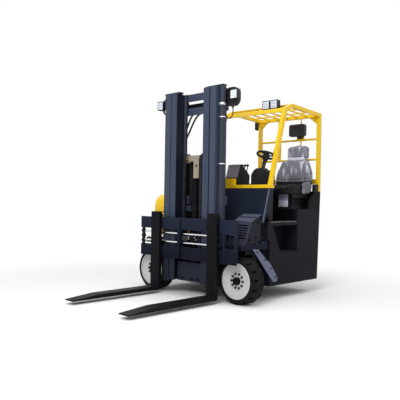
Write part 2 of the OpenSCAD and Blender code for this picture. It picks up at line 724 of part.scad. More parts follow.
// Lamp on a rounded cover at the top of each upright
module mast_lamps() color(black) truck() pair() {
    lamp_z = mast_h - 118;
    round_plate(mast_x + 112, 205, 212, [mast_front + 135, mast_front + 185], lamp_z, 75);
    round_plate(mast_x + 198, 106, 112, [mast_front + 85, mast_front + 136], lamp_z + 10, 14);
    slab([mast_x, mast_x + 20], [mast_front + 140, mast_front + 180], [lamp_z - 60, lamp_z + 60]);
}

rib_x = [-100, -66];

module carriage_frame() color(slate) truck() {
    side_prism([-carriage_w / 2, carriage_w / 2], [[fork_t, bar_low], [bar_back - 28, bar_low],
        [bar_back, bar_low + 28], [bar_back, bar_low + bar_h], [fork_t, bar_low + bar_h]]);
    slab([-carriage_w / 2, carriage_w / 2], [fork_t, bar_back], [bar_top - bar_h, bar_top]);
    difference() {
        slab([carriage_w / 2 - 200, carriage_w / 2], [fork_t, bar_back],
            [bar_low + bar_h - 1, bar_top - bar_h + 1]);
        slab([carriage_w / 2 - 170, carriage_w / 2 - 35], [fork_t - 1, bar_back + 1],
            [bar_low + bar_h + 25, bar_top - bar_h - 20]);
    }
    slab([-carriage_w / 2 + 18, -carriage_w / 2 + 48], [fork_t + 5, bar_back - 5],
        [bar_low + bar_h - 1, bar_top - bar_h + 1]);
    for (i = [0.2, 0.5, 0.8])
        rod_y(-carriage_w / 2 + 33, [fork_t + 2, bar_back - 2], bar_low + bar_h + i * bar_gap, 27);
    slab(rib_x, [fork_t - 28, bar_back], [bar_low + 15, bar_top - 26]);
    rod_x(rib_x, fork_t - 2, bar_top - 26, 26);
    slab(rib_x, [fork_t - 2, bar_back], [bar_top - 27, bar_top]);
}

module carriage_brackets() color(slate) truck() {
    pair() {
        slab([inner_in - 40, inner_in - 12], [bar_back, mast_back - 30], [bar_low + 30, bar_top]);
        for (z = [bar_low + 100, bar_top - 90])
            rod_x([inner_in - 13, inner_web - 4], mast_mid, z, roller_r);
    }
    slab([-inner_in + 30, inner_in - 30], [bar_back, free_y - free_r - 40], [anchor_z - 40, anchor_z]);
    pair()
        slab([chain_x - chain_w / 2, inner_in - 30], [bar_back, free_y - sheave_r - fit], [anchor_z - 40, anchor_z]);
}

// Chrome rods of the fork positioner, either side of the rib
module positioner_rods() color(steel) truck()
    for (z = [bar_low + bar_h + 50, bar_top - bar_h - 45]) {
        rod_x([rib_x[1], carriage_w / 2 - 200], fork_t + 20, z, 12);
        rod_x([-carriage_w / 2 + 60 + fit, rib_x[0]], fork_t + 20, z, 12);
    }

module fork() {
    side_prism([-fork_w / 2, fork_w / 2], [[-fork_len, fork_low], [-fork_len, fork_low + 12],
        [-fork_len + 350, fork_low + fork_t], [0, fork_low + fork_t], [0, fork_h],
        [fork_t - fit, fork_h], [fork_t - fit, fork_low + 40], [fork_t - 14, fork_low + 12],
        [fork_t - 40, fork_low]]);
    slab([-fork_w / 2 + 15, fork_w / 2 - 15], [0, bar_back - 6], [bar_top + 1, bar_top + 35]);
    slab([-fork_w / 2 + 15, fork_w / 2 - 15], [fork_t - 10, bar_back - 8], [bar_low - 36, bar_low - 6]);
}

module fork_left() color(black) truck()
    translate([fork_x, 0, 0])
        fork();

module fork_right() color(black) truck()
    translate([-fork_x, 0, 0])
        fork();

// Front steering arm with its bearing pin, leg and hub motor, at the left pivot
module front_knuckle() translate([pivot_x, wheel_y, 0]) {
    inside = tyre_w / 2 - wheel_out;
    rod_z(0, 0, [wing_low - 12, wing_top - 1], pin_r);
    rod_z(0, 0, [wing_top - 2, wing_top + 16], cap_r);
    slab([-knuckle_x, knuckle_x], [-60, inside + 70], [tyre_d + 25, wing_low - 8]);
    slab([-knuckle_x, knuckle_x], [inside + 8, inside + 70], [tyre_r - 110, tyre_d + 26]);
    rod_y(0, [inside + 8, inside + 110], tyre_r, 105);
    rod_y(0, [inside - tyre_w + 75, inside + 9], tyre_r, rim_r - 71);
    rod_y(0, [inside - tyre_w + 15, inside], tyre_r, hub_r);
}

module front_left_knuckle() color(black) truck()
    front_knuckle();

module front_right_knuckle() color(black) truck()
    mirror([1, 0, 0])
        front_knuckle();

// Dished rim about the Z axis, outer face up, centred on the tyre
module rim(r, w, bore) rotate_extrude()
    polygon([[bore, w / 2 - 55], [r - 12, w / 2 - 55], [r - 12, -w / 2 + 4], [r, -w / 2 + 4],
        [r, w / 2 - 4], [r - 14, w / 2 - 4], [r - 20, w / 2 - 22], [r - 55, w / 2 - 30],
        [bore + 70, w / 2 - 40], [bore, w / 2 - 40]]);

// Solid tyre with notches across each shoulder, staggered from side to side
module tyre(r, w, seat) difference() {
    rotate_extrude()
        polygon([[seat, -w / 2 + 6], [r - 28, -w / 2], [r, -w / 2 + 26], [r, w / 2 - 26],
            [r - 28, w / 2], [seat, w / 2 - 6]]);
    for (i = [0 : lugs - 1], s = [-1, 1])
        rotate((i + s / 4) * 360 / lugs)
            translate([r - 24, -0.05 * r, s > 0 ? w * 0.14 : -w / 2 - 1])
                cube([40, 0.1 * r, w * 0.36 + 1]);
}

module front_wheel_at(side) translate([side * pivot_x, wheel_y - wheel_out, tyre_r])
    rotate([90, 0, 0])
        children();

module front_left_rim() color(white) truck() front_wheel_at(1) rim(rim_r, tyre_w, hub_r + fit);

module front_left_tyre() color(black) truck() front_wheel_at(1) tyre(tyre_r, tyre_w, rim_r);

module front_right_rim() color(white) truck() front_wheel_at(-1) rim(rim_r, tyre_w, hub_r + fit);

module front_right_tyre() color(black) truck() front_wheel_at(-1) tyre(tyre_r, tyre_w, rim_r);

// Rear fork with its bearing pin, over a wheel on a fixed axle
axle_r = 40;
rear_rim_r = rear_r - 65;

module rear_knuckle() color(black) truck() translate([0, rear_y, 0]) {
    rod_z(0, 0, [rear_d + 60, rear_d + 240], pin_r);
    rod_z(0, 0, [rear_d + 60, rear_d + 172], 110);
    slab([-90, 90], [-rear_w / 2 - 48, rear_w / 2 + 48], [rear_d + 25, rear_d + 65]);
    for (s = [-1, 1])
        translate([0, s * (rear_w / 2 + 30), 0])
            slab([-80, 80], [-18, 18], [rear_r - 90, rear_d + 26]);
    rod_y(0, [-rear_w / 2 - 30, rear_w / 2 + 30], rear_r, axle_r);
}

module rear_rim() color(white) truck() translate([0, rear_y, rear_r]) rotate([90, 0, 0])
    rotate_extrude()
        polygon([[axle_r + fit, -60], [rear_rim_r - 15, -60], [rear_rim_r - 15, -rear_w / 2 + 4],
            [rear_rim_r, -rear_w / 2 + 4], [rear_rim_r, rear_w / 2 - 4],
            [rear_rim_r - 15, rear_w / 2 - 4], [rear_rim_r - 15, 60], [axle_r + fit, 60]]);

module rear_tyre() color(black) truck() translate([0, rear_y, rear_r]) rotate([90, 0, 0])
    tyre(rear_r, rear_w, rear_rim_r);

module tilt_cylinders() color(black) truck() pair() difference() {
    union() {
        rod_y(tilt_x, [pivot_y + 120, pivot_y + 405], tilt_z, tilt_r);
        slab([tilt_x - 30, tilt_x + 30], [beam_y + 50, front_y - 2], [wing_top + 30, tilt_z - 20]);
    }
    rod_y(tilt_x, [pivot_y + 119, pivot_y + 385], tilt_z, tilt_r - 17);
}

module tilt_rods() color(steel) truck() pair() difference() {
    union() {
        rod_y(tilt_x, [pivot_y + 25, pivot_y + 320], tilt_z, tilt_r - 18);
        rod_x([tilt_x - 25, tilt_x + 25], pivot_y, tilt_z, 36);
    }
    rod_x([tilt_x - 26, tilt_x + 26], pivot_y, tilt_z, tilt_pin_r + 4);
}

chassis_frame();
counterweight();
engine_block();
engine_hood();
side_panel_left();
side_panel_right();
step_treads();
cab_floor();
front_panel();
fender_left();
arch_plates();
guard_frame();
guard_roof();
dash_console();
steering_wheel();
control_levers();
seat_base();
seat_cushion();
seat_back();
rear_mirror();
work_lamps();
mast_outer();
mast_inner();
lift_cylinders();
lift_rods();
free_lift_cylinder();
crosshead();
lift_chains();
mast_lamps();
carriage_frame();
carriage_brackets();
positioner_rods();
fork_left();
fork_right();
front_left_knuckle();
front_left_rim();
front_left_tyre();
front_right_knuckle();
front_right_rim();
front_right_tyre();
rear_knuckle();
rear_rim();
rear_tyre();
tilt_cylinders();
tilt_rods();
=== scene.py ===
import json
import math

import bpy
from mathutils import Matrix, Vector


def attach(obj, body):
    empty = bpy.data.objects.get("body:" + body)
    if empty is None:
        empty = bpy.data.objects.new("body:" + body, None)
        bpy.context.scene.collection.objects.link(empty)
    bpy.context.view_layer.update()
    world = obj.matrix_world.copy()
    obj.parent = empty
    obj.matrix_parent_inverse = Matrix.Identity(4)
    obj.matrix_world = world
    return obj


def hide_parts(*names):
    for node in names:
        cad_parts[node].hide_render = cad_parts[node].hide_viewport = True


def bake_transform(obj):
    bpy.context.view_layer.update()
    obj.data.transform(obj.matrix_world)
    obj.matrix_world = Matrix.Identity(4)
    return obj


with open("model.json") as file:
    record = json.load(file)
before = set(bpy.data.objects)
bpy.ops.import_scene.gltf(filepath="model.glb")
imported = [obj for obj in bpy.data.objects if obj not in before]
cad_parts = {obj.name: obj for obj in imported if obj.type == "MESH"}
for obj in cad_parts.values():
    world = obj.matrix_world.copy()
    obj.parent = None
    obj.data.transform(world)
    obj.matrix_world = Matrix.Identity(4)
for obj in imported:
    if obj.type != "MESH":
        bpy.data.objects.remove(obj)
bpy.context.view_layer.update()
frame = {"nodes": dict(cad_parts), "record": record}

# Working lengths count Y from the fork shanks; the frame counts it from the middle of the plan.
BACK = 0.250
SHIFT = Vector((0, BACK, 0))
HOME = (0, BACK, 0)
SIDES = (("left", 1), ("right", -1))


def at(x, y, z):
    return Vector((x, y - BACK, z))


# Camera, from the photograph's viewing angle: sensor in mm, focal length and width of the photo in pixels
SENSOR, FOCAL, PHOTO_WIDTH = 36, 533.64, 400
turn, pitch, roll = (math.radians(a) for a in (44.4548, 0.0547, 0.9843))
ahead = Vector((-math.sin(turn) * math.cos(pitch), math.cos(turn) * math.cos(pitch), math.sin(pitch)))
level = Vector((math.cos(turn), math.sin(turn), 0))
upward = level.cross(ahead)
side = math.cos(roll) * level + math.sin(roll) * upward
top = -math.sin(roll) * level + math.cos(roll) * upward
eye = at(4.5228, -4.3145, 1.1422)
lens = bpy.data.cameras.new("Camera")
lens.sensor_fit = "HORIZONTAL"
lens.sensor_width = SENSOR
lens.lens = SENSOR * FOCAL / PHOTO_WIDTH
lens.clip_end = 200
camera = bpy.data.objects.new("Camera", lens)
camera.matrix_world = Matrix((
    (side.x, top.x, -ahead.x, eye.x),
    (side.y, top.y, -ahead.y, eye.y),
    (side.z, top.z, -ahead.z, eye.z),
    (0, 0, 0, 1)))
bpy.context.collection.objects.link(camera)
bpy.context.scene.camera = camera


# Shader values that add and multiply as numbers do
class Wire:
    def __init__(self, nodes, socket):
        self.nodes, self.socket = nodes, socket

    def __add__(self, other):
        return self.nodes.maths("ADD", self, other)

    def __sub__(self, other):
        return self.nodes.maths("SUBTRACT", self, other)

    def __rsub__(self, other):
        return self.nodes.maths("SUBTRACT", other, self)

    def __mul__(self, other):
        return self.nodes.maths("MULTIPLY", self, other)

    __radd__ = __add__
    __rmul__ = __mul__


class Nodes:
    """The nodes of a material or of the world, each made by one method."""

    def __init__(self, tree):
        self.tree = tree

    def node(self, kind, out=0, settings=None, **inputs):
        made = self.tree.nodes.new("ShaderNode" + kind)
        for key, value in (settings or {}).items():
            setattr(made, key, value)
        for key, value in inputs.items():
            index = key[2:] if key.startswith("at") and key[2:].isdigit() else None
            socket = made.inputs[int(index)] if index else made.inputs[key.replace("_", " ")]
            self.join(value, socket)
        return Wire(self, made.outputs[out])

    def join(self, value, socket):
        if isinstance(value, Wire):
            self.tree.links.new(value.socket, socket)
        else:
            socket.default_value = value

    def maths(self, operation, a, b):
        return self.node("Math", settings={"operation": operation}, at0=a, at1=b)

    def seen(self):
        """1 for what the camera sees, also in a reflection or through glass, and 0 for other light."""
        direct, mirrored, through = (self.node("LightPath", "Is %s Ray" % kind)
                                     for kind in ("Camera", "Glossy", "Transmission"))
        return self.maths("MAXIMUM", self.maths("MAXIMUM", direct, mirrored), through)


class Finish(Nodes):
    """One material, on a Principled shader."""

    def __init__(self, name, **fixed):
        self.material = bpy.data.materials.new(name)
        self.material.use_nodes = True
        super().__init__(self.material.node_tree)
        self.shader = self.tree.nodes["Principled BSDF"]
        for socket, value in fixed.items():
            self.shader.inputs[socket.replace("_", " ")].default_value = value

    def place(self, scale=(1, 1, 1)):
        return self.node("Mapping", Vector=self.node("TexCoord", "Object"), Scale=scale)

    def noise(self, scale, detail=4.0, stretch=(1, 1, 1)):
        return self.node("TexNoise", "Fac", Vector=self.place(stretch), Scale=scale, Detail=detail)

    def between(self, value, low, high):
        return self.node("MapRange", settings={"clamp": True, "interpolation_type": "SMOOTHSTEP"},
                         Value=value, From_Min=low, From_Max=high)

    def mix(self, share, a, b):
        return self.node("Mix", 2, settings={"data_type": "RGBA"}, at0=share, at6=a, at7=b)

    def height(self):
        return self.node("SeparateXYZ", "Z", Vector=self.node("TexCoord", "Object"))

    def set(self, **inputs):
        for key, value in inputs.items():
            self.join(value, self.shader.inputs[key.replace("_", " ")])
        return self

    def bump(self, height, strength, depth, soft_edge=0.0):
        given = {"Height": height, "Strength": strength, "Distance": depth}
        if soft_edge:
            given["Normal"] = self.node("Bevel", settings={"samples": 6}, Radius=soft_edge)
        return self.set(Normal=self.node("Bump", **given))

    def edge(self, radius):
        """1 along outer edges and 0 on flat faces."""
        bevel = self.node("Bevel", settings={"samples": 6}, Radius=radius)
        flat = self.node("NewGeometry", "Normal")
        same = self.node("VectorMath", "Value", settings={"operation": "DOT_PRODUCT"}, at0=bevel, at1=flat)
        return self.between(1 - same, 0.02, 0.25)


def rgb(r, g, b):
    return (r, g, b, 1)


def shade(colour, factor, lift=0.0):
    return tuple(c * factor + lift for c in colour[:3]) + (1,)


def paint(name, colour, worn, rough, coat, dust, chips, gloss, soft=0.004,
          low_shade=0.0, top_highlight=0.0, flank_shade=0.0):
    """Sprayed enamel, dusty and rubbed at its edges, with painted shade low down and on the side flanks and a
    painted highlight on upward faces.
    """
    p = Finish(name, Coat_Roughness=0.12, Specular_IOR_Level=gloss)
    cloud = p.noise(2.3, 5)
    streak = p.noise(9, 3, (1, 1, 0.12))
    fine = p.noise(420, 2)
    rub = p.edge(soft * 1.4) * p.between(p.noise(26, 5), 0.44, 0.62) * chips
    film = p.between(cloud * 0.7 + streak * 0.3, 0.46, 0.70) * dust
    tone = p.mix(cloud * 0.35, colour, shade(colour, 0.78))
    tone = p.mix(film, tone, shade(colour, 0.85, 0.02))
    # Painted shade: darker towards the bottom, where the parts above shade it.
    if low_shade:
        low = 1 - p.between(p.height() + (cloud - 0.5) * 0.3, 0.25, 1.15)
        tone = p.mix(low * low_shade, tone, shade(colour, 0.18))
    # Painted highlight: faces that look up are made lighter, as if lit from above.
    if top_highlight:
        slope = p.node("SeparateXYZ", "Z", Vector=p.node("NewGeometry", "Normal"))
        tone = p.mix(p.between(slope, 0.2, 0.6) * top_highlight, tone, shade(colour, 5.6, 0.01))
    # Painted shade: faces that look along X are made darker, as if in shadow.
    if flank_shade:
        flank = p.node("SeparateXYZ", "X", Vector=p.node("NewGeometry", "Normal"))
        tone = p.mix(p.between(flank * flank, 0.5, 0.9) * flank_shade, tone, shade(colour, 0.12))
    p.set(Base_Color=p.mix(rub, tone, worn), Roughness=rough + film * 0.5 + (fine - 0.5) * 0.06,
          Metallic=rub * 0.3, Coat_Weight=coat * (1 - film))
    p.bump(fine * 0.6 + cloud * 0.4, 0.10, 0.0008, soft)
    return p.material


def bare_metal(name, colour, rough, tarnish, grain=(1, 1, 1)):
    """Machined metal with drawn grain and a faint stain."""
    m = Finish(name, Metallic=1.0)
    drawn = m.noise(160, 3, grain)
    stain = m.between(m.noise(14, 5), 0.48, 0.72) * tarnish
    m.set(Base_Color=m.mix(stain, colour, shade(colour, 0.42)),
          Roughness=rough + stain * 0.3 + (drawn - 0.5) * 0.12)
    m.bump(drawn, 0.12, 0.0005, 0.002)
    return m.material


def rubber(name, colour, dust, rough=0.78, soft=0.004):
    """Solid rubber, mottled and greyed by floor dust."""
    t = Finish(name, Specular_IOR_Level=0.14)
    blot = t.noise(11, 6)
    grain = t.noise(190, 3)
    film = t.between(blot, 0.42, 0.74) * dust
    t.set(Base_Color=t.mix(film, colour, shade(colour, 1.6, 0.012)), Roughness=rough + (grain - 0.5) * 0.2)
    t.bump(grain * 0.7 + blot * 0.3, 0.22, 0.0012, soft)
    return t.material


def moulded(name, colour, rough=0.52, grain=520.0, gloss=0.35, soft=0.004):
    """Moulded plastic with a leather grain."""
    m = Finish(name, Specular_IOR_Level=gloss)
    cells = m.node("TexVoronoi", "Distance", Vector=m.place(), Scale=grain)
    cloud = m.noise(7, 4)
    m.set(Base_Color=m.mix(m.between(cloud, 0.4, 0.7) * 0.35, colour, shade(colour, 1.6, 0.006)),
          Roughness=rough + (cloud - 0.5) * 0.2)
    m.bump(cells, 0.18, 0.0006, soft)
    return m.material


def covered_seat(name, colour):
    """Grey seat vinyl with long vertical creases, pale streaks of painted sheen and painted shade on its
    lower part.
    """
    m = Finish(name, Specular_IOR_Level=0.45, Coat_Roughness=0.18)
    crease = m.noise(30, 4, (1, 1, 0.16))
    pull = m.noise(11, 3, (1, 1, 0.3))
    cells = m.node("TexVoronoi", "Distance", Vector=m.place(), Scale=650.0)
    # Painted sheen: pale streaks along the creases are lighter in colour, and they also get more coat and
    # less roughness.
    pale = m.between(crease * 0.6 + pull * 0.4, 0.50, 0.64)
    # Painted shade: the vinyl darkens below a height of about 1.6 m.
    lit_height = m.between(m.height(), 1.40, 1.60) * 0.7 + 0.3
    tone = m.mix(pale, shade(colour, 0.50), shade(colour, 1.7, 0.03))
    m.set(Base_Color=m.mix(lit_height, shade(colour, 0.15), tone), Roughness=0.52 - pale * 0.14,
          Coat_Weight=0.08 + pale * 0.25)
    m.bump(crease * 0.8 + cells * 0.1, 0.55, 0.005)
    return m.material


yellow = paint("guard_yellow", rgb(0.85, 0.545, 0.006), rgb(0.30, 0.22, 0.12),
               rough=0.32, coat=0.2, dust=0.06, chips=0.2, gloss=0.3)
# Painted shade: the slate, inner slate, carriage slate and side black paints darken towards the bottom.
slate = paint("mast_slate", rgb(0.050, 0.063, 0.100), rgb(0.14, 0.15, 0.18),
              rough=0.46, coat=0.03, dust=0.14, chips=0.3, gloss=0.12, low_shade=0.8)
# Painted shade: the inner mast's paint is darker on faces that look sideways along X.
inner_slate = paint("inner_mast_slate", rgb(0.050, 0.063, 0.100), rgb(0.14, 0.15, 0.18),
                    rough=0.46, coat=0.02, dust=0.14, chips=0.3, gloss=0.06, low_shade=0.8, flank_shade=0.85)
barrel = paint("barrel_slate", rgb(0.031, 0.037, 0.056), rgb(0.12, 0.12, 0.14),
               rough=0.44, coat=0.03, dust=0.14, chips=0.3, gloss=0.12)
# Painted highlight: the fender's dark paint is made much lighter on faces that look up.
fender_slate = paint("fender_slate", rgb(0.012, 0.0135, 0.022), rgb(0.10, 0.10, 0.12),
                     rough=0.46, coat=0.03, dust=0.14, chips=0.4, gloss=0.08, top_highlight=0.9)
dark_slate = paint("carriage_slate", rgb(0.018, 0.023, 0.043), rgb(0.07, 0.075, 0.09),
                   rough=0.46, coat=0.02, dust=0.14, chips=0.4, gloss=0.03, low_shade=0.9)
navy = paint("body_navy", rgb(0.0105, 0.0145, 0.0290), rgb(0.06, 0.06, 0.07),
             rough=0.44, coat=0.03, dust=0.10, chips=0.3, gloss=0.10)
black = paint("tool_black", rgb(0.0045, 0.0045, 0.006), rgb(0.10, 0.097, 0.095),
              rough=0.48, coat=0.01, dust=0.16, chips=0.5, gloss=0.06)
side_black = paint("side_black", rgb(0.0140, 0.0128, 0.0195), rgb(0.06, 0.06, 0.07),
                   rough=0.46, coat=0.01, dust=0.10, chips=0.3, gloss=0.04, low_shade=0.35)
white = paint("rim_white", rgb(0.56, 0.555, 0.56), rgb(0.32, 0.30, 0.28),
              rough=0.34, coat=0.25, dust=0.25, chips=0.3, gloss=0.35)
plate = paint("guard_plate_grey", rgb(0.120, 0.140, 0.205), rgb(0.26, 0.27, 0.30),
              rough=0.44, coat=0.05, dust=0.14, chips=0.4, gloss=0.2)
casting = paint("casting_grey", rgb(0.013, 0.015, 0.022), rgb(0.08, 0.08, 0.09),
                rough=0.50, coat=0.02, dust=0.2, chips=0.3, gloss=0.14, soft=0.008)
steel = bare_metal("chain_steel", rgb(0.050, 0.048, 0.054), 0.46, tarnish=0.6)
tread = bare_metal("tread_metal", rgb(0.11, 0.11, 0.12), 0.46, tarnish=0.7)
strap = bare_metal("strap_zinc", rgb(0.62, 0.62, 0.66), 0.38, tarnish=0.3)
bright = bare_metal("bolt_zinc", rgb(0.50, 0.50, 0.50), 0.34, tarnish=0.35)
chrome = bare_metal("rod_chrome", rgb(0.78, 0.79, 0.80), 0.10, grain=(0.2, 6, 6), tarnish=0.06)
zinc = bare_metal("passivated_zinc", rgb(0.37, 0.315, 0.245), 0.44, tarnish=0.35)
# Painted reflection: mirror glass made near black, standing in for the dark reflection it shows.
glass_dark = bare_metal("mirror_dark", rgb(0.030, 0.030, 0.034), 0.08, tarnish=0.1)
tyre = rubber("tyre_rubber", rgb(0.0045, 0.0045, 0.0055), dust=0.2)
hose_rubber = rubber("hose_rubber", rgb(0.010, 0.010, 0.011), rough=0.6, dust=0.3, soft=0)
plastic = moulded("cab_plastic", rgb(0.012, 0.012, 0.014), gloss=0.2)
# Painted light: a lighter grey for the console's front face.
console_lit_grey = moulded("console_grey", rgb(0.135, 0.132, 0.155), rough=0.55, gloss=0.2)
grip = moulded("grip_plastic", rgb(0.009, 0.009, 0.010), rough=0.50, grain=700.0, gloss=0.15)
lamp_case = moulded("lamp_case", rgb(0.010, 0.010, 0.012), rough=0.46, grain=900.0)
lamp_cup = moulded("lamp_reflector", rgb(0.66, 0.70, 0.80), rough=0.16, grain=60.0, gloss=0.8, soft=0)
card = moulded("plate_lilac", rgb(0.34, 0.34, 0.50), rough=0.5, grain=300.0, soft=0.001)
card_pale = moulded("plate_pale", rgb(0.60, 0.60, 0.74), rough=0.5, grain=300.0, soft=0.001)
cover_grey = covered_seat("seat_grey", rgb(0.345, 0.360, 0.450))
seat_vinyl = moulded("seat_vinyl", rgb(0.006, 0.006, 0.008), rough=0.58, grain=420.0, gloss=0.12, soft=0)

FINISHES = {
    "yellow_paint": yellow, "slate_paint": slate, "navy_paint": navy, "black_paint": black,
    "white_paint": white, "grey_plate": plate, "cast": casting, "steel": steel, "chrome": chrome,
    "zinc": zinc, "tyre": tyre, "plastic": plastic, "fabric": cover_grey, "pad": seat_vinyl,
    "lamp": lamp_case,
}
OWN_FINISHES = {
    "carriage_frame": dark_slate, "carriage_brackets": dark_slate, "chassis_frame": dark_slate,
    "lift_cylinders": barrel, "step_treads": tread, "fender_left": fender_slate,
    "side_panel_left": side_black, "side_panel_right": side_black, "mast_inner": inner_slate,
}
for part in frame["record"]["subparts"]:
    node = frame["nodes"][part["node"]]
    node.data.materials.clear()
    node.data.materials.append(OWN_FINISHES.get(part["node"], FINISHES[part["material_slot"]]))


# Hands: each piece starts from a primitive and is shaped in edit mode
SMOOTH_BELOW = math.radians(35)


def desk(piece=None):
    """Object mode, with only this piece selected."""
    if bpy.context.object and bpy.context.object.mode != "OBJECT":
        bpy.ops.object.mode_set(mode="OBJECT")
    bpy.ops.object.select_all(action="DESELECT")
    if piece:
        piece.select_set(True)
        bpy.context.view_layer.objects.active = piece


def settle(piece):
    desk(piece)
    bpy.ops.object.transform_apply(location=True, rotation=True, scale=True)
    return piece


def begin(name, make, place, turned=(0, 0, 0), stretch=(1, 1, 1), **given):
    desk()
    make(location=at(*place), rotation=turned, **given)
    piece = bpy.context.object
    piece.name = name
    piece.scale = stretch
    return settle(piece)


def block(name, low, high):
    middle = [(a + b) / 2 for a, b in zip(low, high)]
    spans = [b - a for a, b in zip(low, high)]
    return begin(name, bpy.ops.mesh.primitive_cube_add, middle, stretch=spans, size=1)


def round_bar(name, place, radius, depth, along="Z", vertices=32):
    turned = {"X": (0, math.pi / 2, 0), "Y": (math.pi / 2, 0, 0), "Z": (0, 0, 0)}[along]
    return begin(name, bpy.ops.mesh.primitive_cylinder_add, place, turned, vertices=vertices, radius=radius,
                 depth=depth)


def work(piece, keep, *steps):
    """Runs edit-mode steps on the faces whose middle and normal pass a test."""
    desk(piece)
    mesh = piece.data
    for items in (mesh.vertices, mesh.edges, mesh.polygons):
        items.foreach_set("select", [False] * len(items))
    for face in mesh.polygons:
        face.select = keep(face.center + SHIFT, face.normal)
    bpy.context.tool_settings.mesh_select_mode = (False, False, True)
    bpy.ops.object.mode_set(mode="EDIT")
    for step in steps:
        step()
    bpy.ops.object.mode_set(mode="OBJECT")
    return piece


def push(x=0, y=0, z=0):
    return lambda: bpy.ops.mesh.extrude_region_move(TRANSFORM_OT_translate={"value": (x, y, z)})


def inset(width, depth=0.0):
    return lambda: bpy.ops.mesh.inset(thickness=width, depth=depth)


def split(cuts):
    return lambda: bpy.ops.mesh.subdivide(number_cuts=cuts)


def everywhere(c, n):
    return True


def front(c, n):
    return n.y < -0.9


def rear(c, n):
    return n.y > 0.9


def upper(c, n):
    return n.z > 0.9


def lower(c, n):
    return n.z < -0.9


def leftward(c, n):
    return n.x > 0.9


def rightward(c, n):
    return n.x < -0.9


def soften(piece, width, segments=2):
    desk(piece)
    bevel = piece.modifiers.new("soft_edges", "BEVEL")
    bevel.width, bevel.segments, bevel.limit_method = width, segments, "ANGLE"
    bpy.ops.object.modifier_apply(modifier=bevel.name)
    return piece


def coat(piece, finish, keep=everywhere):
    """Gives the faces that pass a test this finish."""
    piece.data.materials.append(finish)
    index = len(piece.data.materials) - 1
    for face in piece.data.polygons:
        if keep(face.center + SHIFT, face.normal):
            face.material_index = index
    return piece


def join(name, first, *others):
    desk(first)
    for other in others:
        other.select_set(True)
    if others:
        bpy.ops.object.join()
    first.name = name
    return first


def repeat(piece, places):
    """One joined piece, with a copy of the pattern at each place."""
    copies = []
    for place in places:
        copy = bpy.data.objects.new(piece.name, piece.data.copy())
        copy.data.transform(place)
        bpy.context.collection.objects.link(copy)
        copies.append(copy)
    name = piece.name
    bpy.data.objects.remove(piece)
    return join(name, *copies)


def put(x, y, z, angle=0.0, about="Z"):
    return Matrix.Translation(at(x, y, z)) @ Matrix.Rotation(angle, 4, about)


def fit(piece, body, finish=None):
    """Sets a finished piece on the body that carries it."""
    settle(piece)
    bpy.ops.object.shade_smooth_by_angle(angle=SMOOTH_BELOW)
    if finish:
        coat(piece, finish)
    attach(piece, body)
    return piece


def smooth(points, count):
    """Even points along one smooth curve through these."""
    steps = 24
    ends = [2 * points[0] - points[1]] + points + [2 * points[-1] - points[-2]]
    fine = []
    for a, b, c, d in zip(ends, ends[1:], ends[2:], ends[3:]):
        for t in (k / steps for k in range(steps)):
            bend, twist = a * 2 - b * 5 + c * 4 - d, b * 3 - a - c * 3 + d
            fine.append((b * 2 + (c - a) * t + bend * t ** 2 + twist * t ** 3) / 2)
    fine.append(points[-1])
    reach = [0.0]
    for a, b in zip(fine, fine[1:]):
        reach.append(reach[-1] + (b - a).length)
    even, k = [], 0
    for i in range(count):
        goal = reach[-1] * i / (count - 1)
        while k < len(fine) - 2 and reach[k + 1] < goal:
            k += 1
        even.append(fine[k].lerp(fine[k + 1], (goal - reach[k]) / (reach[k + 1] - reach[k])))
    return even


def hose(name, body, points, diameter, count=30):
    """A hose or cable on one curve, from one fitting to another."""
    route = smooth([at(*p) for p in points], count)
    curve = bpy.data.curves.new(name, "CURVE")
    curve.dimensions = "3D"
    curve.bevel_depth, curve.bevel_resolution, curve.use_fill_caps = diameter / 2, 4, True
    line = curve.splines.new("POLY")
    line.points.add(len(route) - 1)
    for point, place in zip(line.points, route):
        point.co = (*place, 1)
    piece = bpy.data.objects.new(name, curve)
    bpy.context.collection.objects.link(piece)
    curve.materials.append(hose_rubber)
    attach(piece, body)
    length = sum((b - a).length for a, b in zip(route, route[1:]))
    return piece


# Lamp cables on the mast, each hanging in a loop from its cover to the upright
LAMP_LOOP = ((0.530, 2.196), (0.534, 2.164), (0.528, 2.128), (0.508, 2.099), (0.478, 2.087), (0.450, 2.098),
             (0.434, 2.126), (0.428, 2.156), (0.428, 2.184))
for name, s in SIDES:
    gland = round_bar("lamp_gland_" + name, (s * 0.530, 0.263, 2.2135), 0.011, 0.016, vertices=20)
    work(gland, lower, inset(0.003), push(z=-0.012))
    clip = block("cable_clip_" + name, (s * 0.428 - 0.012, 0.250, 2.188), (s * 0.428 + 0.012, 0.276, 2.212))
    work(clip, lower, inset(0.005), push(z=-0.006))
    for bit in (gland, clip):
        fit(soften(bit, 0.002), "mast", grip)
    loop = [(s * x, 0.263, z) for x, z in LAMP_LOOP]
    hose("lamp_cable_" + name, "mast", loop, 0.012)

# Work lamp cable along the roof's front
hose("work_lamp_cable", "truck", [
    (0.633, 1.000, 2.318), (0.650, 1.000, 2.316), (0.672, 1.001, 2.307),
    (0.700, 1.003, 2.296), (0.728, 1.004, 2.293), (0.756, 1.004, 2.296)], 0.008)

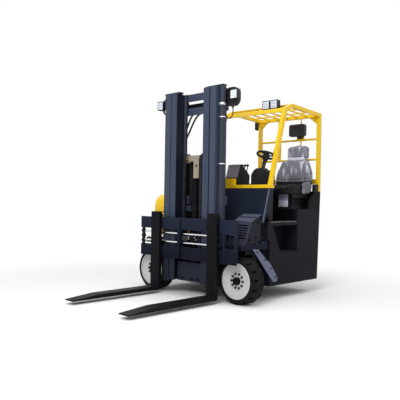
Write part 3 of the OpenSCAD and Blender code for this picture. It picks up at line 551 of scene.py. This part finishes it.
# Two pressure hoses from the upper tie of the mast, down behind its right upright to a bracket
HOSES = (
    (0.347, 1.850, (
        (0.010, 2.240), (-0.060, 2.240), (-0.130, 2.234), (-0.190, 2.210), (-0.236, 2.163), (-0.270, 2.105),
        (-0.304, 2.035), (-0.336, 1.965), (-0.357, 1.905), (-0.362, 1.850))),
    (0.372, 1.835, (
        (0.010, 2.216), (-0.040, 2.216), (-0.100, 2.208), (-0.152, 2.180), (-0.196, 2.132), (-0.240, 2.066),
        (-0.284, 1.994), (-0.328, 1.926), (-0.356, 1.876), (-0.362, 1.835))))
shelf = block("hose_bracket", (-0.400, 0.2852, 1.790), (-0.336, 0.390, 1.812))
work(shelf, upper, inset(0.006), push(z=0.003))
work(shelf, rear, inset(0.004), push(y=0.002))
fit(soften(shelf, 0.002), "mast", black)
for k, (y, low, route) in enumerate(HOSES):
    high = route[0][1]
    nut = round_bar("hose_nut_%d" % k, (0.018, y, high), 0.0150, 0.024, "X", 6)
    work(nut, leftward, inset(0.002), push(x=0.010))
    union = block("hose_union_%d" % k, (0.036, 0.3195, high - 0.013), (0.064, y + 0.013, high + 0.013))
    work(union, leftward, inset(0.005), push(x=0.004))
    foot = round_bar("hose_foot_%d" % k, (-0.362, y, (low + 1.811) / 2), 0.0145, low - 1.811, "Z", 6)
    work(foot, upper, inset(0.002), push(z=0.006))
    head = join("hose_end_%d" % k, nut, union)
    ends = [fit(soften(bit, 0.0015), "mast", steel) for bit in (head, foot)]
    hose("mast_hose_%d" % (k + 1), "mast", [(x, y, z) for x, z in route], 0.023)

# Dark rail behind that tie, with a swivel for the hoses
rail = block("hose_rail", (-0.330, 0.3202, 2.262), (0.300, 0.338, 2.331))
work(rail, rear, inset(0.008), push(y=0.003))
swivel = round_bar("hose_swivel", (-0.306, 0.338, 2.348), 0.034, 0.030, "Y", 28)
work(swivel, front, inset(0.008), push(y=-0.004), inset(0.008), push(y=0.003))
fit(soften(join("hose_rail", rail, swivel), 0.002), "mast", black)

# Feed pipes behind the chains, from a clamp on the middle tie up to a manifold
manifold = block("pipe_manifold", (-0.292, 0.3225, 1.590), (0.015, 0.3495, 1.626))
work(manifold, rear, inset(0.005), push(y=0.003))
clamp = block("pipe_clamp", (-0.292, 0.3195, 1.140), (0.015, 0.3500, 1.168))
work(clamp, rear, inset(0.005), push(y=0.003))
pipe = round_bar("feed_pipes", (0, BACK, 1.371), 0.0115, 0.444, vertices=20)
work(pipe, lower, inset(0.003), push(z=-0.010))
pipes = repeat(pipe, [put(x, 0.336, 0) for x in (
    -0.275, -0.250, -0.225, -0.176, -0.152, -0.052, -0.027, -0.002)])
fit(join("feed_pipes", pipes, soften(manifold, 0.002), soften(clamp, 0.002)), "mast", black)

# Dark shroud between the mast and the hood, cut out for the tilt rod
plates = [block("mast_shroud", low, high) for low, high in (
    ((-0.529, 0.466, 0.868), (-0.216, 0.4798, 1.196)), ((-0.529, 0.466, 0.694), (-0.404, 0.4798, 0.869)),
    ((-0.236, 0.466, 0.694), (-0.216, 0.4798, 0.869)), ((-0.2175, 0.466, 0.694), (-0.2090, 0.556, 1.196)))]
work(plates[0], front, inset(0.022), push(y=0.004))
fit(soften(join("mast_shroud", *plates), 0.002), "truck", black)

# Valve block on the carriage, with a short hose to each side
valve = block("valve_block", (-0.052, 0.046, 0.662), (0.040, 0.079, 0.724))
work(valve, front, split(1))
work(valve, front, lambda: bpy.ops.mesh.inset(thickness=0.006, depth=0.003, use_individual=True))
soften(valve, 0.002)
fit(valve, "carriage", steel)
for k, (z, far) in enumerate(((0.712, 0.150), (0.690, 0.172))):
    cuff = round_bar("hose_cuff_%d" % k, (0.046, 0.062, z), 0.0085, 0.014, "X", 6)
    work(cuff, leftward, inset(0.0015), push(x=0.006))
    stud = round_bar("hose_stud_%d" % k, (far, 0.072, z - 0.004), 0.008, 0.02, "Y", 6)
    work(stud, front, inset(0.002), push(y=-0.004))
    for bit in (cuff, stud):
        fit(soften(bit, 0.001), "carriage", bright)
    sag = [(0.056, 0.062, z), (0.072, 0.062, z - 0.003), (0.095, 0.061, z - 0.013), (0.118, 0.060, z - 0.018),
           (far - 0.018, 0.059, z - 0.014), (far - 0.004, 0.060, z - 0.006)]
    hose("carriage_hose_%d" % (k + 1), "carriage", sag, 0.010, count=24)

# Wheel nuts and hub caps
WHEEL_X, WHEEL_Z, NUT_CIRCLE, NUTS = 0.71, 0.2625, 0.080, 10
for name, s in SIDES:
    nut = round_bar("wheel_nuts_" + name, HOME, 0.0135, 0.015, "Y", 6)
    work(nut, front, inset(0.004), push(y=-0.009))
    work(nut, rear, inset(-0.004), push(y=0.003))
    soften(nut, 0.0012)
    nuts = repeat(nut, [put(s * WHEEL_X + NUT_CIRCLE * math.cos(a), 0.178, WHEEL_Z + NUT_CIRCLE * math.sin(a))
                        for a in (math.tau * i / NUTS for i in range(NUTS))])
    fit(nuts, name + "_wheel", steel)
    cap = round_bar("hub_cap_" + name, (s * WHEEL_X, 0.156, WHEEL_Z), 0.0435, 0.012, "Y", 40)
    work(cap, front, inset(0.008), push(y=-0.006), inset(0.010, 0.003), inset(0.006), push(y=0.004))
    soften(cap, 0.002)
    fit(cap, name + "_wheel", black)


# Lamps: bezel, reflector cups and cooling fins
def lamp_front(name, x, y, z, w, h, body):
    bezel = block(name, (x - w / 2, y - 0.011, z - h / 2), (x + w / 2, y + 0.001, z + h / 2))
    work(bezel, front, inset(0.008), push(y=0.007))
    soften(bezel, 0.003)
    coat(bezel, lamp_case)
    coat(bezel, lamp_cup, lambda c, n: n.y < -0.9 and c.y > y - 0.006)
    cup = begin(name + "_cups", bpy.ops.mesh.primitive_cone_add, HOME, (math.pi / 2, 0, 0), vertices=20,
                radius1=0.008, radius2=0.0165, depth=0.006)
    work(cup, front, inset(0.002), push(y=0.004), inset(0.006), push(y=-0.002))
    coat(cup, lamp_cup)
    step = (min(w, h) - 0.016) / 3
    cups = repeat(cup, [put(x + i * step, y - 0.006, z + j * step) for i in (-1, 0, 1) for j in (-1, 0, 1)])
    fit(join(name, bezel, cups), body)


def lamp_fins(name, x, y, z, w, h, body):
    edge = x - w / 2
    fin = block(name, (edge + 0.010, y, z - h / 2 + 0.012), (edge + 0.014, y + 0.012, z + h / 2 - 0.012))
    work(fin, rear, inset(0.001), push(y=0.003))
    desk(fin)
    fins = fin.modifiers.new("fins", "ARRAY")
    fins.count, fins.use_relative_offset, fins.use_constant_offset = 8, False, True
    fins.constant_offset_displace = ((w - 0.024) / 7.2, 0, 0)
    bpy.ops.object.modifier_apply(modifier=fins.name)
    fit(fin, body, lamp_case)


for name, s in SIDES:
    lamp_front("mast_lamp_" + name, s * 0.616, 0.180, 2.337, 0.104, 0.110, "mast")
for name, x in (("inner", 0.458), ("outer", 0.578)):
    lamp_front("work_lamp_" + name, x, 0.9737, 2.338, 0.110, 0.106, "truck")
    lamp_fins("work_lamp_fins_" + name, x, 1.0235, 2.338, 0.110, 0.070, "truck")


# Leaf chains: plates in turn on pins, down from the crosshead to the carriage and to the inner mast
SHEAVE_Y, SHEAVE_Z, CHAIN_LINE = 0.215, 1.640, 0.0573
CHAIN_X, CHAIN_FOOT, CHAIN_TURN, CHAIN_END = 0.140, 0.747, 1.078, 1.625
LINK_PITCH, LINKS = 0.031, 52


def link(name, plates):
    bits = []
    for k in range(plates):
        x = (k - (plates - 1) / 2) * 0.0092
        bit = round_bar(name, (x, BACK, 0), 0.0075, 0.0046, "X", 10)
        work(bit, everywhere, lambda: bpy.ops.transform.resize(value=(1, 1, 2.75)))
        bits.append(bit)
    pin = round_bar(name, (0, BACK, 0.0155), 0.0042, 0.041, "X", 8)
    work(pin, leftward, inset(0.001), push(x=0.001))
    return join(name, *bits, pin)


def chain_step(x, reach):
    """Place on the chain's line: up the front run, over the sheave, down behind."""
    up, arc = SHEAVE_Z - CHAIN_FOOT, math.pi * CHAIN_LINE
    if reach < up:
        return put(x, SHEAVE_Y - CHAIN_LINE, CHAIN_FOOT + reach)
    if reach > up + arc:
        return put(x, SHEAVE_Y + CHAIN_LINE, SHEAVE_Z - (reach - up - arc), math.pi, "X")
    a = (reach - up) / CHAIN_LINE
    return put(x, SHEAVE_Y - CHAIN_LINE * math.cos(a), SHEAVE_Z + CHAIN_LINE * math.sin(a), -a, "X")


for name, s in SIDES:
    x = s * CHAIN_X
    spots = [0.016 + LINK_PITCH * i for i in range(LINKS)]
    front_run = [r for r in spots if r < CHAIN_TURN]
    rear_run = [r for r in spots if CHAIN_TURN <= r < CHAIN_END]
    for run, links, other, end in (
            ("front", front_run, "carriage", 0.75), ("rear", rear_run, "inner_mast", 1.09)):
        odd = [r for r in links if spots.index(r) % 2]
        even = [r for r in links if not spots.index(r) % 2]
        wide = repeat(link("chain_wide", 4), [chain_step(x, r) for r in odd])
        slim = repeat(link("chain_slim", 3), [chain_step(x, r) for r in even])
        piece = settle(join("lift_chain_%s_%s" % (run, name), wide, slim))
        bpy.ops.object.shade_smooth_by_angle(angle=0.6)
        coat(piece, steel)
        y = SHEAVE_Y + (CHAIN_LINE if run == "rear" else -CHAIN_LINE)
        at(x, y, 1.60)
        at(x, y, end)
        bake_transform(piece)
        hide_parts("lift_chains")


# Seat: stuffed covers blown up from plain forms, with sewn seams
def form(name, shape):
    """A unit block with even cells, each corner then moved by a shaping rule."""
    piece = work(block(name, (0, 0, 0), (1, 1, 1)), everywhere, split(7))
    for corner in piece.data.vertices:
        corner.co = at(*shape(*(corner.co + SHIFT)))
    return piece


def swell(piece, cap, voxel=0.008):
    """Blows the form up as a stuffed cover does, no further than cap."""
    pressure, frames = 4.0, 20
    desk(piece)
    cells = piece.modifiers.new("even_cells", "REMESH")
    cells.mode, cells.voxel_size = "VOXEL", voxel
    bpy.ops.object.modifier_apply(modifier=cells.name)
    flat = [corner.co.copy() for corner in piece.data.vertices]
    stuffing = piece.modifiers.new("stuffing", "CLOTH")
    stuffing.settings.use_pressure = True
    stuffing.settings.uniform_pressure_force = pressure
    stuffing.settings.effector_weights.gravity = 0
    for step in range(1, frames + 1):
        bpy.context.scene.frame_set(step)
    blown = piece.evaluated_get(bpy.context.evaluated_depsgraph_get())
    full = [corner.co.copy() for corner in blown.data.vertices]
    piece.modifiers.remove(stuffing)
    bpy.context.scene.frame_set(1)
    for corner, a, b in zip(piece.data.vertices, flat, full):
        move = b - a
        corner.co = a + move * min(1, cap / max(move.length, 1e-9))
    return piece


def unless(on_the_seam):
    """Keeps a seam off the faces where it doesn't run, by a distance too long to pull."""
    return 0 if on_the_seam else 1


def sew(piece, seams, depth, width):
    """Pulls the cover in along each seam; a seam gives a corner's distance from it."""
    normals = [corner.normal.copy() for corner in piece.data.vertices]
    for corner, normal in zip(piece.data.vertices, normals):
        place = corner.co + SHIFT
        pull = max(math.exp(-(seam(place, normal) / width) ** 2) for seam in seams)
        corner.co -= normal * depth * pull
    desk(piece)
    rounder = piece.modifiers.new("rounder", "SUBSURF")
    rounder.levels = rounder.render_levels = 1
    bpy.ops.object.modifier_apply(modifier=rounder.name)
    bpy.ops.object.shade_smooth()
    return piece


def pad(piece, slot, finish, *nodes):
    coat(piece, finish)
    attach(piece, "truck")
    if nodes:
        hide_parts(*nodes)
    return piece


def squircle(a, power=4.0):
    return (1 - min(1, abs(a)) ** power) ** (1 / power)


MID_SEAT, SEAM = 0.512, 0.148


def cushion_shape(u, v, w):
    across, along = 2 * u - 1, 2 * v - 1
    x = MID_SEAT - 0.010 + across * 0.262 * (0.90 + 0.10 * squircle(along))
    y = 1.300 + along * 0.238 * (0.93 + 0.07 * squircle(across))
    nose = max(0.0, -along - 0.55) / 0.45
    bolster = max(0.0, abs(across) - 0.62) / 0.38
    z = 1.246 + w * (0.088 - 0.030 * nose ** 2 + 0.022 * bolster)
    return x, y, z


def back_shape(u, v, w):
    across = 2 * u - 1
    narrow = 1 - 0.30 * max(0.0, (w - 0.42) / 0.58) ** 2.2
    bolster = max(0.0, abs(across) - 0.55) / 0.45
    x = MID_SEAT + across * 0.282 * narrow * (0.94 + 0.06 * math.sin(math.pi * min(1, w * 1.4)))
    y = 1.465 + 0.060 * w + 0.076 * v - (0.018 * bolster ** 2 if v < 0.5 else 0)
    z = 1.310 + 0.412 * w - 0.022 * across ** 2 * w
    return x, y, z


def head_shape(u, v, w):
    across = 2 * u - 1
    x = MID_SEAT + 0.019 + across * 0.160 * (0.86 + 0.14 * squircle(2 * w - 1, 3))
    y = 1.535 + 0.074 * v + 0.018 * across ** 2 * (1 - v)
    z = 1.706 + 0.178 * w - 0.018 * across ** 2 * w
    return x, y, z


cushion = swell(form("seat_cushion_cover", cushion_shape), 0.022)
for corner in cushion.data.vertices:
    corner.co.z = max(corner.co.z, 1.2405)
sew(cushion, [lambda p, n: abs(abs(p.x - MID_SEAT) - SEAM) + unless(n.z > 0.3),
              lambda p, n: abs(p.y - 1.150) + unless(n.z > 0.2 and abs(p.x - MID_SEAT) < SEAM),
              lambda p, n: abs(p.z - 1.292)], 0.006, 0.008)
pad(cushion, "pad", seat_vinyl, "seat_cushion")

backrest = swell(form("seat_back_cover", back_shape), 0.024)
sew(backrest, [
    lambda p, n: abs(abs(p.x - MID_SEAT - 0.005) - 0.150 + 0.10 * (p.z - 1.45)) + unless(n.y < -0.2),
    lambda p, n: abs(p.z - 1.425 - 0.3 * (p.x - MID_SEAT) ** 2) + unless(n.y < -0.3)], 0.007, 0.009)
pad(backrest, "fabric", cover_grey, "seat_back")
coat(backrest, seat_vinyl, lambda c, n: c.z < 1.410)

headrest = swell(form("headrest_cover", head_shape), 0.020, 0.007)
sew(headrest, [lambda p, n: abs(p.x - 0.592 - 0.15 * (p.z - 1.80)) + unless(n.y < 0.5)], 0.020, 0.014)
pad(headrest, "fabric", cover_grey, "seat_back")

band = block("headrest_band", (0.410, 1.510, 1.684), (0.652, 1.590, 1.724))
work(band, front, split(3))
soften(band, 0.012, 3)
fit(band, "truck", card_pale)


# Loose end of the seat's cover, folded over the recliner on the left of the cushion
def fold_shape(u, v, w):
    along, up = 2 * v - 1, 2 * w - 1
    x = 0.746 + 0.030 * u * squircle(along, 3) * squircle(up, 3)
    y = 1.445 + 0.108 * along * (0.80 + 0.20 * squircle(up))
    z = 1.328 + 0.090 * up * (0.80 + 0.20 * squircle(along)) + 0.012 * along
    return x, y, z


fold = swell(form("seat_cover_fold", fold_shape), 0.014, 0.007)
sew(fold, [lambda p, n: abs(p.z - 1.345 - 0.5 * (p.y - 1.44)),
           lambda p, n: abs(p.z - 1.290 + 0.3 * (p.y - 1.44))], 0.006, 0.010)
pad(fold, "fabric", cover_grey)
handle = round_bar("recliner_lever", (0.762, 1.520, 1.455), 0.009, 0.110, "Z", 16)
work(handle, upper, inset(0.002), push(z=0.018))
soften(handle, 0.003)
fit(handle, "truck", grip)

# Switch box at the foot of the left rear post
box = block("switch_box", (0.762, 1.562, 1.264), (0.797, 1.652, 1.374))
work(box, leftward, inset(0.006), push(x=0.0025))
work(box, front, inset(0.006), push(y=-0.003), inset(0.010), push(y=0.002))
soften(box, 0.003)
fit(box, "truck", grip)

# Blank card on the front of the seat's base
sign = block("seat_base_plate", (0.494, 1.2165, 1.080), (0.635, 1.2195, 1.240))
work(sign, front, split(1))
work(sign, front, inset(0.006), push(y=-0.0008))
soften(sign, 0.0008)
fit(sign, "truck", card)
coat(sign, card_pale, lambda c, n: n.y < -0.9 and c.z < 1.158)

# Steering column cover, hub cap and the turning knob on the ring
LEAN = Matrix.Translation(at(0.5, 0.868, 1.527)) @ Matrix.Rotation(math.radians(-20), 4, "X")
cover = begin("column_cover", bpy.ops.mesh.primitive_cone_add, (0, BACK, 0.150), vertices=32, radius1=0.026,
              radius2=0.050, depth=0.060)
work(cover, upper, inset(0.004), push(z=0.012), inset(0.010), push(z=0.010))
work(cover, lower, inset(0.003), push(z=-0.03))
soften(cover, 0.003)
cover.data.transform(LEAN)
fit(cover, "truck", grip)
cap = round_bar("steering_hub_cap", (0, BACK, 0.214), 0.034, 0.012, vertices=32)
work(cap, upper, inset(0.006), push(z=0.005), inset(0.012, 0.002))
soften(cap, 0.002)
knob = round_bar("steering_knob", (0.111, BACK, 0.232), 0.010, 0.030, vertices=20)
work(knob, upper, inset(-0.008), push(z=0.022), inset(0.006), push(z=0.006))
soften(knob, 0.004, 3)
wheel_top = join("steering_wheel_cap", cap, knob)
wheel_top.data.transform(LEAN)
fit(wheel_top, "steering", grip)

# Grey cover on the leaning front of the lever console; its lighter grey is painted light on that face
lean_front = Matrix.Rotation(-math.atan2(0.050, 0.170), 4, "X")
panel = block("console_cover", (0.043, BACK - 0.004, -0.084), (0.234, BACK, 0.084))
work(panel, front, inset(0.008), push(y=0.0015))
soften(panel, 0.0015)
panel.data.transform(Matrix.Translation(at(0, 0.735, 1.515)) @ lean_front)
fit(panel, "truck", console_lit_grey)

# Bellows boots round the feet of the levers
boot = begin("lever_boots", bpy.ops.mesh.primitive_cone_add, (0, BACK, 0.010), vertices=24, radius1=0.022,
             radius2=0.009, depth=0.042)
desk(boot)
bpy.ops.object.mode_set(mode="EDIT")
bpy.ops.mesh.select_all(action="SELECT")
bpy.ops.mesh.bisect(plane_co=at(0, BACK, 0.004), plane_no=(0, 0, 1))
bpy.ops.object.mode_set(mode="OBJECT")
soften(boot, 0.002)
boots = repeat(boot, [put(0.115 + 0.045 * i, 0.917, 1.494, math.radians(-12), "X") for i in range(3)])
fit(boots, "truck", grip)

# Light bands and clamps on the lift cylinders
for name, s in SIDES:
    bands, x = [], s * 0.458
    for z, tall in ((2.241, 0.026), (2.092, 0.011), (1.561, 0.011)):
        ring = round_bar("cylinder_band", (x, 0.170, z), 0.0400, tall, vertices=44)
        work(ring, upper, inset(0.001), push(z=0.001))
        ear = block("band_ear", (x - 0.008, 0.122, z - tall * 0.45), (x + 0.008, 0.136, z + tall * 0.45))
        work(ear, front, inset(0.004), push(y=-0.003))
        bands += [ring, ear]
    fit(soften(join("cylinder_bands_" + name, *bands), 0.0015), "mast", strap)


# Bolt heads with washers, each on the face that it holds
def bolts(name, body, places, size, finish):
    washer = round_bar(name, HOME, size * 1.45, 0.003, vertices=24)
    work(washer, upper, inset(size * 0.1), push(z=0.0006))
    head = round_bar(name, (0, BACK, 0.001 + size * 0.4), size, size * 0.9, vertices=6)
    work(head, upper, inset(size * 0.12), push(z=size * 0.08))
    pattern = soften(join(name, washer, head), size * 0.06)
    fit(repeat(pattern, places), body, finish)


def facing(axis, x, y, z):
    """Place on a face that looks along +X, -X, -Y, +Y or +Z."""
    quarter = math.pi / 2
    turned = {"+X": (quarter, "Y"), "-X": (-quarter, "Y"), "-Y": (quarter, "X"), "+Y": (-quarter, "X"),
              "+Z": (0, "Z")}
    return put(x, y, z, *turned[axis])


bolts("fender_bolts", "truck", [facing("+X", 0.776, y, z) for y, z in (
    (0.415, 0.735), (0.300, 0.712), (0.520, 0.735), (0.445, 0.900))], 0.011, black)
bolts("arch_bolts", "truck", [facing("+X" if s > 0 else "-X", s * 0.809, y, z) for s in (1, -1) for y, z in (
    (0.400, 0.575), (0.545, 0.480), (0.655, 0.375), (0.745, 0.270))], 0.009, steel)
bolts("carriage_bolts", "carriage", [facing("-Y", 0.787, 0.0445, z) for z in (
    0.607, 0.700, 0.772)], 0.007, steel)
bolts("sill_bolts", "truck", [facing("-Y", x, 0.6145, 1.320) for x in (
    -0.165, 0.06, 0.29, 0.52, 0.74)], 0.007, yellow)
bolts("wing_bolts", "truck", [facing("+Z", s * x, y, 0.6608) for s in (1, -1) for x, y in (
    (0.785, 0.165), (0.560, 0.165), (0.785, 0.420))], 0.011, steel)
bolts("mast_foot_bolts", "mast", [facing("+Y", s * 0.372, 0.3055, z) for s in (1, -1) for z in (
    0.175, 0.210, 1.125, 1.175, 2.215, 2.255)], 0.010, steel)

# Light grey strip along the left edge of the leaning front panel, a painted highlight where that edge meets
# the light
lean_back = Matrix.Rotation(-math.atan2(0.116, 0.400), 4, "X")
edge_highlight = block("panel_bead", (-0.005, BACK - 0.003, -0.200), (0.004, BACK + 0.006, 0.200))
work(edge_highlight, front, inset(0.002), push(y=-0.0015))
soften(edge_highlight, 0.002, 3)
edge_highlight.data.transform(Matrix.Translation(at(0.797, 0.557, 1.100)) @ lean_back)
fit(edge_highlight, "truck", plate)

# Mirror glass in its oval case, near black: its dark reflection is painted into its colour
middle = (-0.228, 1.6485, 2.215)
glass = round_bar("mirror_glass", middle, 0.5, 0.003, "Y", 40)
work(glass, front, inset(0.04), push(y=-0.0004))
glass.data.transform(Matrix.Translation(at(*middle)) @ Matrix.Diagonal((0.048, 1, 0.108, 1)) @
                     Matrix.Translation(-at(*middle)))
fit(glass, "truck", glass_dark)

# Hood: lift handle on the right side, lock on the rear edge
grab = block("hood_handle", (-0.822, 1.000, 1.120), (-0.800, 1.140, 1.150))
work(grab, rightward, inset(0.008), push(x=0.006))
soften(grab, 0.005, 3)
fit(grab, "truck", grip)
lock = round_bar("hood_lock", (-0.213, 1.450, 1.140), 0.017, 0.010, "X", 24)
work(lock, leftward, inset(0.005), push(x=0.003), inset(0.004), push(x=-0.002))
soften(lock, 0.001)
fit(lock, "truck", bright)


# Stage: pale floor that fades into a white background, and soft lamps
desk()
bpy.ops.mesh.primitive_circle_add(vertices=96, radius=30, fill_type="NGON", location=(0, 0, -0.0005))
floor = bpy.context.object
floor.name = "floor"
ground = Finish("pale_floor", Roughness=0.9)
spot = ground.node("TexCoord", "Object")
reach = ground.node("VectorMath", "Value", settings={"operation": "LENGTH"}, at0=spot)
ground.set(Base_Color=ground.mix(ground.noise(0.6) * 0.3, rgb(0.93, 0.93, 0.93), rgb(0.90, 0.90, 0.905)))
glow = ground.node("Emission", Color=rgb(1, 1, 1), Strength=1.0)
blend = ground.node("MixShader", at0=ground.between(reach, 1.6, 4.2) * ground.seen(),
                    at1=Wire(ground, ground.shader.outputs[0]), at2=glow)
ground.join(blend, ground.tree.nodes["Material Output"].inputs["Surface"])
floor.data.materials.append(ground.material)

sky = bpy.data.worlds.new("Studio")
bpy.context.scene.world = sky
sky.use_nodes = True
air = Nodes(sky.node_tree)
back = air.tree.nodes["Background"]
back.inputs["Color"].default_value = rgb(1, 1, 1)
strength = air.node("MapRange", Value=air.seen(), To_Min=0.42, To_Max=1.0)
air.join(strength, back.inputs["Strength"])
bpy.context.scene.view_settings.view_transform = "Standard"


def softbox(name, place, aim, size, power):
    lamp = bpy.data.lights.new(name, "AREA")
    lamp.shape = "RECTANGLE"
    lamp.size, lamp.size_y = size
    lamp.energy = power
    box = bpy.data.objects.new(name, lamp)
    box.location = place
    box.rotation_euler = (Vector(aim) - Vector(place)).to_track_quat("-Z", "Y").to_euler()
    bpy.context.collection.objects.link(box)


softbox("key_light", (2.8, -5.4, 4.8), (0, 0, 1.1), (4.0, 3.0), 330)
softbox("side_light", (6.0, 2.0, 4.0), (0, 0.3, 1.0), (3.5, 3.0), 45)
softbox("top_light", (0, 0.3, 6.5), (0, 0.2, 0), (5.0, 5.0), 190)
